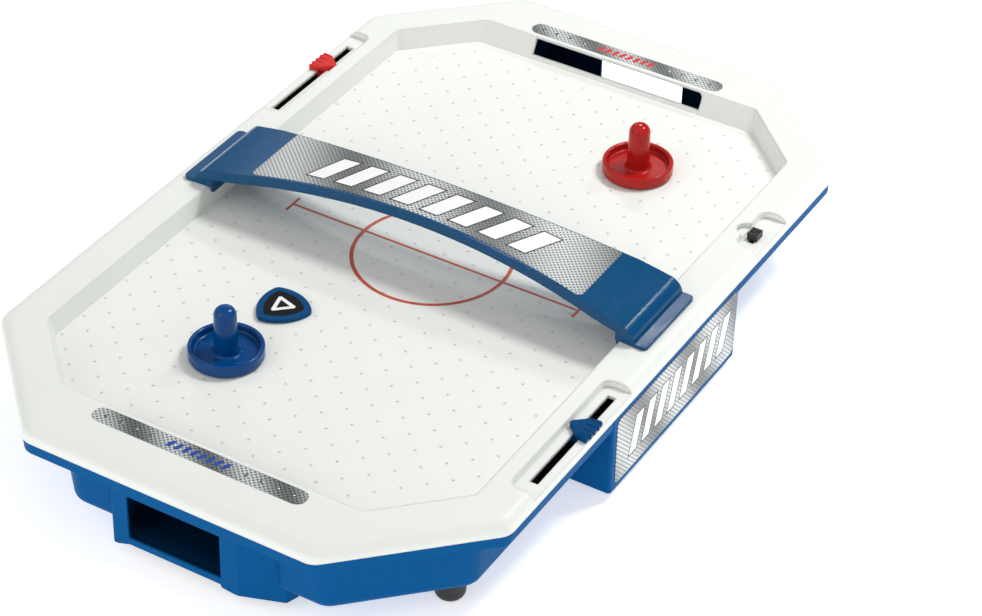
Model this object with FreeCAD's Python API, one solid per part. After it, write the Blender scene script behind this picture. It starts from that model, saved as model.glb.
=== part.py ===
import FreeCAD, Part
import math
import os

from FreeCAD import Vector

# Tabletop air hockey game. Millimetres. X is across the table, with the blower box on +X.
# Y is along the table, with the blue goal at -Y and the red goal at +Y. Z is up from the
# surface that the feet stand on. The origin is at the middle of the footprint.

# ---- driving dimensions ----
# the white deck
HALF_W = 205.0          # half the width over the rim
HALF_L = 328.0          # half the length over the rim
CORNER = 91.0           # 45 degree corner cut of the rim
CORNER_R = 14.0         # rounding of the rim's eight corners in plan
RIM_TOP = 84.0
RIM_ROUND = 9.0         # rounding along the rim's outer top edge
SKIRT_Z = 72.5          # lower edge of the white skirt
WALL = 2.6              # wall of the white moulding
RINK_W, RINK_L, RINK_C = 172.4, 277.8, 52.5     # rink opening at the rim's top: half sizes, corner cut
FLOOR_W, FLOOR_L, FLOOR_C = 170.5, 269.0, 48.0  # rink opening at the playing surface
RINK_CORNER_R = 5.0
PLAY_Z = 67.4           # playing surface
PANEL_T = 2.0
PANEL_CLEARANCE = 0.05
LEDGE_T, LEDGE_W = 2.0, 7.0
WEB_Z, WEB_T = 66.0, 2.0    # the rim's inner web, which closes the air chamber on the base flange
BOSS_R, BORE_R = 4.0, 1.5
MOUTH_HALF, MOUTH_Z0, MOUTH_Z1 = 74.5, 70.0, 82.4
GAP = 0.3               # gap between pieces that move past each other

# the air holes
HOLE_PITCH = 12.4       # half the holes' spacing, in a staggered grid
HOLE_R = 0.5
HOLE_X, HOLE_Y, HOLE_SUM = 168.0, 256.0, 385.0  # how far the hole field reaches

# the blue base
STRIP_Z = 63.5          # lower edge of the blue flange strip
STRIP_IN, STRIP_T = 1.0, 2.2    # the strip's step in from the skirt, and its thickness
TUB_Z, TUB_T, TUB_DRAFT = 20.3, 2.5, 2.0
TUB_TOP = STRIP_Z + TUB_T    # also the top of the flange
TUB_PLAN = [(-86, -312), (113, -312), (183, -242), (183, 215)]  # and the same turned half round
TUB_CORNER_R, TUB_EDGE_R = 16.0, 7.5

# the goal boxes
BOX_T = 2.4
BOX_HALF = 84.0
BOX_BACK = -262.0       # inner wall of a goal box
BOX_TOP_BACK = -284.0   # its upper part stays behind the rim's end wall
BOX_Z0, BOX_SILL_Z, BOX_SHOULDER_Z, BOX_Z1 = 9.6, 13.0, 62.9, 81.1
BOX_LEFT = -50.5        # left side of the part that hangs under the tub
BOX_PLAN = [(BOX_LEFT, -320), (50.5, -320), (81, -309), (BOX_HALF, -300)]
WING_Y = -309.0         # the left wing stays inside the tub's end wall
WING_Z0, WING_Z1 = 27.0, 36.0   # underside of the wing's floor, which slopes down to the middle
WINDOW_HALF, WINDOW_Z0, WINDOW_Z1 = 37.0, 18.0, 54.5
# underside of the sill between its two columns, as x and z
SILL_LEFT = [(-46.0, BOX_Z0), (-36.0, BOX_SILL_Z)]
SILL_RIGHT = [(36.5, BOX_SILL_Z), (37.5, 10.6), (46.0, BOX_Z0)]
EAR_W, EAR_Y0, EAR_Y1 = 9.5, -297.0, -284.0
EAR_SCREW = (88.8, -290.5)

# the blower box
HOUSING_X0, HOUSING_X1 = 117.0, 204.4
HOUSING_Y0, HOUSING_Y1 = -99.0, 87.0
HOUSING_Z0, HOUSING_T = 7.0, 2.5
HOUSING_LOW_TOP, HOUSING_STEP_X = 61.5, 184.0
BASE_T = 2.5
BAY_Y = -25.0           # the battery bay's side of the divider
FAN_X, FAN_Y = 160.5, -61.5
FAN_R, FAN_EYE_R, FAN_BLADES = 27.0, 18.0, 18
FAN_Z0, FAN_Z1 = 28.5, 45.0
VOLUTE_R, VOLUTE_T = 31.2, 2.0
VOLUTE_Z0, VOLUTE_Z1 = 25.0, 47.5
MOTOR_R, MOTOR_Z0, MOTOR_Z1 = 12.1, 13.0, 38.0
SHAFT_R, SHAFT_CLEARANCE = 1.0, 0.05
CLAMP_POSTS = [(132.0, -33.5), (190.5, -33.5), (190.5, -89.5)]
TRAY_POSTS = [(150.0, 10.0), (150.0, 50.0)]
BLOWER_SCREWS = [(122.5, -93.5), (199.0, -93.5), (122.5, 81.5), (140.0, -30.5)]

# the batteries, four C cells
CELL_R, CELL_L, CELL_NUB_R, CELL_NUB_L = 13.1, 48.5, 3.2, 1.5
CELL_PITCH, CELL_Z = 26.8, 23.4
TRAY_X0, TRAY_X1, TRAY_T = 138.5, 201.0, 2.0
TRAY_Y0, TRAY_Y1, TRAY_Z0, TRAY_Z1 = -24.6, 84.1, 10.2, 39.0
DOOR_X0, DOOR_Y0, DOOR_Y1 = 137.0, -20.0, 82.0
TONGUE = 1.8

# score markers and switch
SLOT_X, SLOT_HALF_W = 194.6, 3.2
SLOT_Y0, SLOT_Y1 = -190.0, -84.5
RECESS_X, RECESS_Y0, RECESS_Y1, RECESS_Z = 184.5, -205.0, -75.0, 78.5
RECESS_R, RECESS_T = 7.0, 2.6
BLUE_SCORE_Y, RED_SCORE_Y = -126.3, 156.5
KNOB_TIP_X, KNOB_END_X, KNOB_HALF = 186.0, 205.0, 11.7
KNOB_Z1 = 82.8
SCALLOPS, SCALLOP_R, SCALLOP_DEPTH = 4, 2.8, 1.6
KNOB_GROOVE_L, KNOB_GROOVE_R = 8.5, 0.55   # a groove runs in from each scallop
PEG_R, CLIP_T = 1.8, 2.3
TRACK_X0, TRACK_X1 = 187.0, 202.2
TRACK_Z0, TRACK_FLOOR_T = 72.6, 0.4
SWITCH_X, SWITCH_Y = 192.5, 132.0
SWITCH_RECESS_Y0, SWITCH_RECESS_Y1 = 112.0, 160.0
SWITCH_TRAVEL, STEM_HALF = 4.0, 2.0
LEAD_R = 0.8
LEAD_HOLE = (178.0, 132.0)  # where the leads rise through the rim's web

# feet and screws
FEET = [(161, -236.2), (-148, -222), (-161, 236.2), (148, 222)]
FOOT_R, FOOT_ROUND, FOOT_BORE_R = 10.8, 6.6, 3.3
CASE_SCREWS = [(195, -217), (-195, -217), (-195, 217), (195, 217),
               (99, -319.5), (-99, -319.5), (-99, 319.5), (99, 319.5)]

# the bridge
ARCH_TOP, ARCH_R = 117.0, 780.0
ARCH_SHOULDER_X, BRIDGE_OUT_X, BRIDGE_END_X = 175.5, 184.0, 193.5
BRIDGE_WAIST, BRIDGE_WIDE, BRIDGE_HALF = 23.5, 34.0, 36.0
BRIDGE_WIDE_X = 150.0
BRIDGE_T, BRIDGE_SKIRT, LIP_T = 2.2, 7.7, 2.5
HOOK_X0, HOOK_X1, HOOK_Z, HOOK_HALF = 168.8, 171.2, 79.0, 33.0
LABEL_T = 0.3
BRIDGE_LABEL_X = 137.5

# strikers and puck
STRIKER_R, STRIKER_H, STRIKER_RIM_H, STRIKER_RIM_T = 26.8, 41.5, 10.0, 3.4
STRIKER_POST_R, STRIKER_TOP_R, STRIKER_FLOOR_T = 8.8, 7.8, 3.0
PAD_T = 1.0
BLUE_STRIKER, RED_STRIKER = (-57.6, -175.7), (72.5, 176.0)
PUCK_AT, PUCK_TURN, PUCK_T = (-55.5, -110.5), 13.3, 3.2
PUCK_SIDE_R, PUCK_OFFSET, PUCK_CORNER_R = 31.0, 13.4, 5.0


# ---- shape helpers ----
def box(x0, x1, y0, y1, z0, z1):
    return Part.makeBox(x1 - x0, y1 - y0, z1 - z0, Vector(x0, y0, z0))


def cylinder(x, y, z0, z1, r):
    return Part.makeCylinder(r, z1 - z0, Vector(x, y, z0))


def rod_along_x(x0, x1, y, z, r):
    return Part.makeCylinder(r, x1 - x0, Vector(x0, y, z), Vector(1, 0, 0))


def octagon(half_w, half_l, corner):
    return [(-half_w + corner, -half_l), (half_w - corner, -half_l),
            (half_w, -half_l + corner), (half_w, half_l - corner),
            (half_w - corner, half_l), (-half_w + corner, half_l),
            (-half_w, half_l - corner), (-half_w, -half_l + corner)]


def half_turn_pair(points):
    """A plan given by its first half, completed by the same points turned half round."""
    return points + [(-x, -y) for x, y in points]


def shrink(points, d):
    """A convex counter-clockwise plan with every side moved in by d."""
    n = len(points)
    sides = []
    for i in range(n):
        (x0, y0), (x1, y1) = points[i], points[(i + 1) % n]
        length = math.hypot(x1 - x0, y1 - y0)
        nx, ny = -(y1 - y0) / length, (x1 - x0) / length
        sides.append((nx, ny, nx * x0 + ny * y0 + d))
    moved = []
    for i in range(n):
        a, b = sides[i - 1], sides[i]
        det = a[0] * b[1] - a[1] * b[0]
        moved.append(((a[2] * b[1] - a[1] * b[2]) / det, (a[0] * b[2] - a[2] * b[0]) / det))
    return moved


def rounded_wire(corners, radii):
    """A closed outline through 3-D corners, each rounded by its own radius."""
    n = len(corners)
    stops = []
    for i, p in enumerate(corners):
        before = (corners[i - 1] - p).normalize()
        after = (corners[(i + 1) % n] - p).normalize()
        half = before.getAngle(after) / 2
        reach = radii[i] / math.tan(half)
        middle = p + (before + after).normalize() * (radii[i] / math.sin(half) - radii[i])
        stops.append((p + before * reach, middle, p + after * reach))
    edges = []
    for i in range(n):
        start, middle, end = stops[i]
        if radii[i] > 0:
            edges.append(Part.Arc(start, middle, end).toShape())
        following = stops[(i + 1) % n][0]
        if (following - end).Length > 1e-6:
            edges.append(Part.LineSegment(end, following).toShape())
    return Part.Wire(edges)


def plan_wire(points, z, r=0.0):
    return rounded_wire([Vector(x, y, z) for x, y in points], [r] * len(points))


def prism(points, z0, z1, r=0.0):
    return Part.Face(plan_wire(points, z0, r)).extrude(Vector(0, 0, z1 - z0))


def side_prism(points, y0, y1):
    """A solid along the table, from its outline in the XZ plane."""
    outline = Part.makePolygon([Vector(x, y0, z) for x, z in points + points[:1]])
    return Part.Face(outline).extrude(Vector(0, y1 - y0, 0))


def taper(low_points, z0, high_points, z1, low_r=0.0, high_r=0.0):
    """A solid between two plans with the same number of corners."""
    return Part.makeLoft([plan_wire(low_points, z0, low_r), plan_wire(high_points, z1, high_r)], True, True)


def fillet_where(shape, radius, chosen):
    return shape.makeFillet(radius, [e for e in shape.Edges if chosen(e)])


def at_height(z):
    return lambda e: abs(e.BoundBox.ZMin - z) < 1e-4 and abs(e.BoundBox.ZMax - z) < 1e-4


def fuse(shapes):
    return shapes[0].fuse(shapes[1:]).removeSplitter()


def cut(shape, tools):
    for tool in tools:
        shape = shape.cut(tool)
    return shape


def below(z):
    return box(-300, 300, -400, 400, -50, z)


def turned(shape):
    """The shape turned half round the table's vertical middle line."""
    copy = shape.copy()
    copy.rotate(Vector(0, 0, 0), Vector(0, 0, 1), 180)
    return copy


def revolved(profile, x, y, z):
    """A solid of revolution about a vertical line, from (radius, height, rounding) corners."""
    corners = [Vector(r, 0, h) for r, h, _ in profile]
    face = Part.Face(rounded_wire(corners, [rounding for _, _, rounding in profile]))
    solid = face.revolve(Vector(0, 0, 0), Vector(0, 0, 1), 360)
    solid.translate(Vector(x, y, z))
    return solid


def tube(points, r):
    """A lead through the points, its corners as large as its runs allow."""
    edges = []
    here = Vector(*points[0])
    for i in range(1, len(points) - 1):
        p = Vector(*points[i])
        to_before, to_after = Vector(*points[i - 1]) - p, Vector(*points[i + 1]) - p
        reach = 0.45 * min(to_before.Length, to_after.Length)
        before, after = to_before.normalize(), to_after.normalize()
        half = before.getAngle(after) / 2
        bend_r = reach * math.tan(half)
        middle = p + (before + after).normalize() * (bend_r / math.sin(half) - bend_r)
        edges.append(Part.LineSegment(here, p + before * reach).toShape())
        edges.append(Part.Arc(p + before * reach, middle, p + after * reach).toShape())
        here = p + after * reach
    edges.append(Part.LineSegment(here, Vector(*points[-1])).toShape())
    path = Part.Wire(edges)
    direction = Vector(*points[1]) - Vector(*points[0])
    section = Part.Wire(Part.makeCircle(r, Vector(*points[0]), direction))
    lead = path.makePipeShell([section], True, True)
    filled = lead.Volume / (math.pi * r * r * path.Length)
    print("lead", round(path.Length, 1), "mm long, volume ratio", round(filled, 3))
    return lead


def screw(x, y, head_z, length):
    """A pan-head screw driven upwards, its head's flat side at head_z, with a cross recess."""
    head_r, shank_r, head_h = 2.9, BORE_R - 0.05, 1.8
    cross_long, cross_half, cross_depth = 1.8, 0.4, 1.0
    shape = fuse([cylinder(x, y, head_z - head_h, head_z, head_r),
                  cylinder(x, y, head_z, head_z + length, shank_r)])
    shape = fillet_where(shape, 0.6, at_height(head_z - head_h))
    for a, b in ((cross_long, cross_half), (cross_half, cross_long)):
        shape = shape.cut(box(x - a, x + a, y - b, y + b, head_z - head_h - 1, head_z - head_h + cross_depth))
    return shape


def group(shapes):
    return Part.makeCompound(shapes)


# ---- white deck ----
def rim_plan(inset=0.0):
    return shrink(octagon(HALF_W, HALF_L, CORNER), inset)


def floor_plan(grow=0.0):
    return shrink(octagon(FLOOR_W, FLOOR_L, FLOOR_C), -grow)


def rink_opening(grow=0.0):
    """The space inside the rim's walls, grown sideways, from under the panel to above the rim."""
    high = shrink(octagon(RINK_W, RINK_L, RINK_C), -grow)
    corner_r = RINK_CORNER_R + grow
    return fuse([taper(floor_plan(grow), PLAY_Z, high, RIM_TOP, corner_r, corner_r),
                 prism(floor_plan(grow), PLAY_Z - PANEL_T - LEDGE_T, PLAY_Z, corner_r),
                 prism(high, RIM_TOP, RIM_TOP + 5, corner_r)])


def recess_cut(x0, y0, y1):
    """A shallow recess in the rim's side, open to the outside."""
    outside = HALF_W + 20
    return prism([(x0, y0), (outside, y0), (outside, y1), (x0, y1)], RECESS_Z, RIM_TOP + 5, RECESS_R)


def score_recess():
    slot = box(SLOT_X - SLOT_HALF_W, SLOT_X + SLOT_HALF_W, SLOT_Y0, SLOT_Y1, SKIRT_Z, RIM_TOP)
    return fuse([recess_cut(RECESS_X, RECESS_Y0, RECESS_Y1), slot])


def switch_recess():
    thumb_r = 7.5
    recess = recess_cut(RECESS_X + 1, SWITCH_RECESS_Y0, SWITCH_RECESS_Y1)
    thumb = cylinder(RECESS_X + 1.5, SWITCH_Y, RECESS_Z + 1.5, RIM_TOP + 5, thumb_r)
    stem_room = STEM_HALF + 0.4
    stem_slot = box(SWITCH_X - stem_room, SWITCH_X + stem_room,
                    SWITCH_Y - SWITCH_TRAVEL - 3.1, SWITCH_Y + 3.1, SKIRT_Z, RIM_TOP)
    return fuse([recess, thumb, stem_slot])


def recess_floor(y0, y1):
    """The thicker part of the rim around and under a recess."""
    around = 6.5
    return box(RECESS_X - around, HALF_W, y0 - WALL, y1 + WALL, RECESS_Z - RECESS_T, RIM_TOP - 1)


def rim_web():
    """The web from the rink's walls out over the base's flange, which keeps the air in."""
    over_flange = 6.0
    web = prism(shrink(half_turn_pair(TUB_PLAN), -over_flange), WEB_Z, WEB_Z + WEB_T, TUB_CORNER_R)
    lead_x, lead_y = LEAD_HOLE
    return cut(web, [prism(floor_plan(WALL / 2), WEB_Z - 1, WEB_Z + WEB_T + 1, RINK_CORNER_R),
                     goal_box_room(), turned(goal_box_room()),
                     box(HOUSING_STEP_X - 0.1, HALF_W, HOUSING_Y0, HOUSING_Y1, 0, RIM_TOP),
                     box(lead_x - 3, lead_x + 3, lead_y - 5, lead_y + 5, 0, RIM_TOP)])


def rim_bosses():
    ear_x, ear_y = EAR_SCREW
    places = CASE_SCREWS + [(ear_x, ear_y), (-ear_x, ear_y), (ear_x, -ear_y), (-ear_x, -ear_y)]
    solids = [cylinder(x, y, WEB_Z, RIM_TOP - WALL / 2, BOSS_R) for x, y in places]
    bores = [cylinder(x, y, WEB_Z - 1, RIM_TOP - 5, BORE_R) for x, y in places]
    return solids, bores


def rim_frame():
    outer = fillet_where(prism(rim_plan(), SKIRT_Z, RIM_TOP, CORNER_R), RIM_ROUND, at_height(RIM_TOP))
    cavity = fillet_where(prism(rim_plan(WALL), SKIRT_Z - 1, RIM_TOP - WALL, CORNER_R - WALL),
                          RIM_ROUND - WALL, at_height(RIM_TOP - WALL))
    walls = rink_opening(WALL)
    shell = outer.cut(cavity.cut(walls))
    floors = fuse([recess_floor(RECESS_Y0, RECESS_Y1), turned(recess_floor(RECESS_Y0, RECESS_Y1)),
                   recess_floor(SWITCH_RECESS_Y0, SWITCH_RECESS_Y1)])
    bosses, bores = rim_bosses()
    shell = fuse([shell, walls.common(below(SKIRT_Z + 1)), floors.common(outer), rim_web()] + bosses)
    ledge_room = prism(floor_plan(-LEDGE_W), PLAY_Z - PANEL_T - LEDGE_T - 1, PLAY_Z, 2.0)
    mouth = box(-MOUTH_HALF, MOUTH_HALF, -HALF_L + 40, -FLOOR_L + 8, MOUTH_Z0, MOUTH_Z1)
    mouth = fillet_where(mouth, 4.0, lambda e: e.BoundBox.YLength > 1 and e.BoundBox.XMax < 0
                         and e.BoundBox.ZMin > MOUTH_Z1 - 0.01)
    return cut(shell, bores + [rink_opening().cut(below(PLAY_Z - PANEL_T)), ledge_room, mouth, turned(mouth),
                               score_recess(), turned(score_recess()), switch_recess()])


def air_holes():
    """The centres of the staggered air holes."""
    count = int(HOLE_Y / HOLE_PITCH) + 1
    for i in range(-count, count):
        for j in range(-count, count):
            x, y = (i + 0.5) * HOLE_PITCH, (j + 0.5) * HOLE_PITCH
            inside = abs(x) <= HOLE_X and abs(y) <= HOLE_Y and abs(x) + abs(y) <= HOLE_SUM
            if (i + j) % 2 == 0 and inside:
                yield x, y


def playing_panel():
    panel = prism(floor_plan(-PANEL_CLEARANCE), PLAY_Z - PANEL_T, PLAY_Z, RINK_CORNER_R - PANEL_CLEARANCE)
    holes = [cylinder(x, y, PLAY_Z - PANEL_T - 1, PLAY_Z + 1, HOLE_R) for x, y in air_holes()]
    return panel.cut(group(holes))


# ---- blue base ----
def goal_box_plan(inset=0.0, back=BOX_BACK):
    return shrink(BOX_PLAN + [(BOX_HALF, back), (BOX_LEFT, back)], inset)


def wing(inset, top_z, back):
    """The box's left wing, over the tub's floor, which leads the puck to the middle."""
    x0, x1 = -BOX_HALF + inset, BOX_LEFT + 2 * BOX_T
    return side_prism([(x0, WING_Z1 + inset), (x1, WING_Z0 + inset), (x1, top_z), (x0, top_z)],
                      WING_Y + inset, back - inset)


def goal_box_room():
    """The room one goal box takes up in its neighbours."""
    return fuse([prism(goal_box_plan(), 0, RIM_TOP),
                 box(-BOX_HALF, BOX_LEFT + BOX_T, WING_Y, BOX_BACK, WING_Z0, RIM_TOP)])


def goal_box():
    low = fuse([prism(goal_box_plan(), BOX_Z0, BOX_SHOULDER_Z, 2.0), wing(0.0, BOX_SHOULDER_Z, BOX_BACK)])
    high = fuse([prism(goal_box_plan(0, BOX_TOP_BACK), BOX_SHOULDER_Z - 1, BOX_Z1, 2.0),
                 box(-BOX_HALF, BOX_LEFT + BOX_T, WING_Y, BOX_TOP_BACK, BOX_SHOULDER_Z - 1, BOX_Z1)])
    ear_x, ear_y = EAR_SCREW
    ear_z1 = WEB_Z - 0.1
    root = BOX_HALF - 1
    ears = [box(root, BOX_HALF + EAR_W, EAR_Y0, EAR_Y1, ear_z1 - BOX_T, ear_z1),
            box(-BOX_HALF - EAR_W, -root, EAR_Y0, EAR_Y1, ear_z1 - BOX_T, ear_z1)]
    inner = BOX_HALF - BOX_T
    under_sill = [(SILL_LEFT[0][0], 0)] + SILL_LEFT + SILL_RIGHT + [(SILL_RIGHT[-1][0], 0)]
    window = box(-WINDOW_HALF, WINDOW_HALF, -330, -310, WINDOW_Z0, WINDOW_Z1)
    window = fillet_where(window, 1.0, lambda e: e.BoundBox.YLength > 10)
    return cut(fuse([low, high] + ears), [
        prism(goal_box_plan(BOX_T), BOX_SILL_Z + BOX_T, BOX_SHOULDER_Z),
        prism(goal_box_plan(BOX_T, BOX_TOP_BACK - 10), BOX_SHOULDER_Z - 1, BOX_Z1 + 1),
        box(-inner, inner, BOX_TOP_BACK - 13, BOX_BACK - BOX_T, BOX_SHOULDER_Z - 3, BOX_Z1 + 1),
        wing(BOX_T, BOX_Z1 + 1, BOX_BACK),
        prism(goal_box_plan(BOX_T), BOX_Z0 - 1, BOX_SILL_Z),
        side_prism(under_sill, -HALF_L, BOX_BACK + 1),
        cylinder(ear_x, ear_y, 0, RIM_TOP, BORE_R), cylinder(-ear_x, ear_y, 0, RIM_TOP, BORE_R), window])


def tub_plan(inset=0.0):
    return shrink(half_turn_pair(TUB_PLAN), inset)


def tub_block():
    """The tub's outer shape, filled."""
    block = taper(tub_plan(), TUB_Z, tub_plan(-TUB_DRAFT), TUB_TOP, TUB_CORNER_R, TUB_CORNER_R)
    return fillet_where(block, TUB_EDGE_R, at_height(TUB_Z))


def base_neighbours():
    """The rooms that the goal boxes and the blower box take out of the base."""
    strip_end = box(-110, 110, -HALF_L, -HALF_L + 7, STRIP_Z, SKIRT_Z)
    blunt = BOX_HALF - 5   # ends the tub's wall squarely where it meets the box's slanted side
    squared = box(BOX_LEFT, blunt, -HALF_L, BOX_BACK - 40, 0, RIM_TOP)
    goal_room = fuse([goal_box_room(), squared]).cut(strip_end)
    housing_room = box(HOUSING_X0, HALF_W, HOUSING_Y0, HOUSING_Y1, 0, SKIRT_Z + 5)
    return [goal_room, turned(goal_room), housing_room]


def base_tub():
    inner = taper(tub_plan(TUB_T), TUB_Z + TUB_T, tub_plan(TUB_T - TUB_DRAFT), TUB_TOP + 8,
                  TUB_CORNER_R - TUB_T, TUB_CORNER_R - TUB_T)
    foot_bosses = [cylinder(x, y, TUB_Z + 0.5, TUB_Z + 14, BOSS_R + 1) for x, y in FEET]
    tub = fuse([tub_block().cut(inner)] + foot_bosses)
    screw_bores = [cylinder(x, y, TUB_Z - 1, TUB_Z + 12, BORE_R) for x, y in FEET]
    return cut(tub, screw_bores + base_neighbours())


def base_flange():
    """The flat flange around the tub's top, with the blue strip that stands along its outer edge."""
    flange = prism(rim_plan(STRIP_IN), STRIP_Z, SKIRT_Z, CORNER_R - STRIP_IN)
    strip_in = STRIP_IN + STRIP_T
    flange = flange.cut(prism(rim_plan(strip_in), TUB_TOP, SKIRT_Z + 1, CORNER_R - strip_in))
    screw_bores = [cylinder(x, y, STRIP_Z - 1, TUB_TOP + 1, BORE_R) for x, y in CASE_SCREWS]
    return cut(flange, [tub_block()] + screw_bores + base_neighbours())


# ---- blower box ----
def housing_roof(x):
    return SKIRT_Z - HOUSING_T if x > HOUSING_STEP_X else HOUSING_LOW_TOP - HOUSING_T


def blower_housing():
    bottom, t = HOUSING_Z0 + BASE_T, HOUSING_T
    shell = fuse([box(HOUSING_X0, HOUSING_X1, HOUSING_Y0, HOUSING_Y1, bottom, HOUSING_LOW_TOP),
                  box(HOUSING_STEP_X, HOUSING_X1, HOUSING_Y0, HOUSING_Y1, bottom, SKIRT_Z)])
    corner_r = 2.5
    outer_corner_edges = lambda e: e.BoundBox.ZLength > 40 and e.BoundBox.XMin > HOUSING_X1 - 1
    shell = fillet_where(shell, corner_r, outer_corner_edges)
    for y0, y1 in ((HOUSING_Y0 + t, BAY_Y - t), (BAY_Y, HOUSING_Y1 - t)):
        shell = shell.cut(box(HOUSING_X0 + t, HOUSING_X1 - t, y0, y1, 0, HOUSING_LOW_TOP - t))
        shell = shell.cut(box(HOUSING_STEP_X + t, HOUSING_X1 - t, y0, y1, 0, SKIRT_Z - t))
    posts = [cylinder(x, y, VOLUTE_Z0, housing_roof(x) + 1, 3.5) for x, y in CLAMP_POSTS]
    posts += [cylinder(x, y, TRAY_Z1, housing_roof(x) + 1, BOSS_R) for x, y in TRAY_POSTS]
    posts += [cylinder(x, y, bottom, 20, 3.5) for x, y in BLOWER_SCREWS]
    bores = [cylinder(x, y, VOLUTE_Z0 - 1, VOLUTE_Z0 + 12, BORE_R) for x, y in CLAMP_POSTS]
    bores += [cylinder(x, y, bottom - 1, 19, BORE_R) for x, y in BLOWER_SCREWS]
    outlet = box(HOUSING_X0 - 1, HOUSING_X0 + t + 1, FAN_Y - VOLUTE_R, FAN_Y - 3,
                 VOLUTE_Z0 + VOLUTE_T, VOLUTE_Z1 - VOLUTE_T)
    divider_hole = box(120.5, 128.5, BAY_Y - t - 1, BAY_Y + 1, 21.5, 25.5)
    lead_exit = box(124, 134, HOUSING_Y1 - t - 1, HOUSING_Y1 + 1, 43, 55)
    return cut(fuse([shell] + posts), bores + [outlet, divider_hole, lead_exit])


def blower_base_plate():
    plate = box(HOUSING_X0, HOUSING_X1, HOUSING_Y0, HOUSING_Y1, HOUSING_Z0, HOUSING_Z0 + BASE_T)
    plate = fillet_where(plate, 2.5, lambda e: e.BoundBox.ZLength > 1 and e.BoundBox.XMin > HOUSING_X1 - 1)
    door_room = box(DOOR_X0 - GAP, HALF_W, DOOR_Y0, DOOR_Y1, 0, 20)
    groove = box(DOOR_X0 - GAP, HALF_W, DOOR_Y0 - TONGUE - GAP, DOOR_Y1 + TONGUE + GAP,
                 HOUSING_Z0 + 0.5, HOUSING_Z0 + 2.0)
    slots = []
    pitch, half_slot = 6.5, 1.5
    for k in range(-4, 5):
        half = math.sqrt(29.0 ** 2 - (k * pitch) ** 2)
        y = FAN_Y + k * pitch
        slots.append(box(FAN_X - half, FAN_X + half, y - half_slot, y + half_slot, 0, 20))
    bores = [cylinder(x, y, 0, 20, BORE_R) for x, y in BLOWER_SCREWS]
    return cut(plate, [door_room, groove] + slots + bores)


def battery_door():
    slack = GAP + 0.02
    door = box(DOOR_X0, HOUSING_X1, DOOR_Y0 + slack, DOOR_Y1 - slack, HOUSING_Z0, HOUSING_Z0 + BASE_T - slack)
    tongues = box(DOOR_X0, HOUSING_X1, DOOR_Y0 - TONGUE + slack, DOOR_Y1 + TONGUE - slack,
                  HOUSING_Z0 + 0.85, HOUSING_Z0 + 1.65)
    middle_y = 0.5 * (DOOR_Y0 + DOOR_Y1)
    ribs = [box(HOUSING_X1 - 8 - k * 3, HOUSING_X1 - 6.6 - k * 3, middle_y - 14, middle_y + 14,
                HOUSING_Z0 - 0.8, HOUSING_Z0 + 1) for k in range(5)]
    return fuse([door, tongues] + ribs)


def cell_rows():
    """Each cell's Y, and +1 where its positive end faces +X, or -1."""
    middle = 0.5 * (TRAY_Y0 + TRAY_Y1)
    return [(middle + (k - 1.5) * CELL_PITCH, 1 if k % 2 == 0 else -1) for k in range(4)]


def cell_middle_x():
    return 0.5 * (TRAY_X0 + TRAY_X1)


def batteries():
    cells = []
    for y, way in cell_rows():
        x = cell_middle_x() - way * 0.5 * CELL_NUB_L
        can = fillet_where(rod_along_x(x - 0.5 * CELL_L, x + 0.5 * CELL_L, y, CELL_Z, CELL_R), 0.8,
                           lambda e: e.BoundBox.XLength < 1e-4)
        nub_x = x + way * 0.5 * CELL_L
        nub = rod_along_x(min(nub_x, nub_x + way * CELL_NUB_L), max(nub_x, nub_x + way * CELL_NUB_L),
                          y, CELL_Z, CELL_NUB_R)
        cells.append(fuse([can, nub]))
    return group(cells)


def battery_tray():
    inner_y0, inner_y1 = TRAY_Y0 + 1, TRAY_Y1 - 1
    tray = box(TRAY_X0, TRAY_X1, TRAY_Y0, TRAY_Y1, TRAY_Z0, TRAY_Z1)
    tools = [box(TRAY_X0 + TRAY_T, TRAY_X1 - TRAY_T, inner_y0, inner_y1, 0, CELL_Z + 8)]
    tools += [rod_along_x(TRAY_X0 + TRAY_T, TRAY_X1 - TRAY_T, y, CELL_Z, CELL_R + 0.15)
              for y, _ in cell_rows()]
    tab_rows = (cell_rows()[0][0], cell_rows()[3][0])
    tools += [box(TRAY_X0 - 1, TRAY_X0 + TRAY_T + 1, y - 2.1, y + 2.1, CELL_Z - 0.5, CELL_Z + 0.5)
              for y in tab_rows]
    return cut(tray, tools)


def contact_gap():
    """The room between a cell's end and the tray's end wall."""
    return 0.5 * (TRAY_X1 - TRAY_X0 - 2 * TRAY_T - CELL_L - CELL_NUB_L)


def battery_contacts():
    plate_t, half, height = 0.5, 6.0, 8.0
    rows = cell_rows()
    pieces = []
    for way, links in ((1, [(0, 1), (2, 3)]), (-1, [(0, 0), (1, 2), (3, 3)])):
        wall = TRAY_X1 - TRAY_T if way > 0 else TRAY_X0 + TRAY_T
        inner = wall - way * plate_t
        for first, last in links:
            plate = box(min(wall, inner), max(wall, inner), rows[first][0] - half, rows[last][0] + half,
                        CELL_Z - height, CELL_Z + height)
            solids = [plate]
            for row in {first, last}:
                y, positive = rows[row]
                tip = wall - way * contact_gap()
                if positive == way:
                    solids.append(rod_along_x(min(inner, tip), max(inner, tip), y, CELL_Z, 3.0))
            if first == last:
                y = rows[first][0]
                solids.append(box(TRAY_X0 - 2, TRAY_X0 + TRAY_T, y - 2, y + 2, CELL_Z - 0.4, CELL_Z + 0.4))
            pieces.append(fuse(solids))
    return group(pieces)


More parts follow.
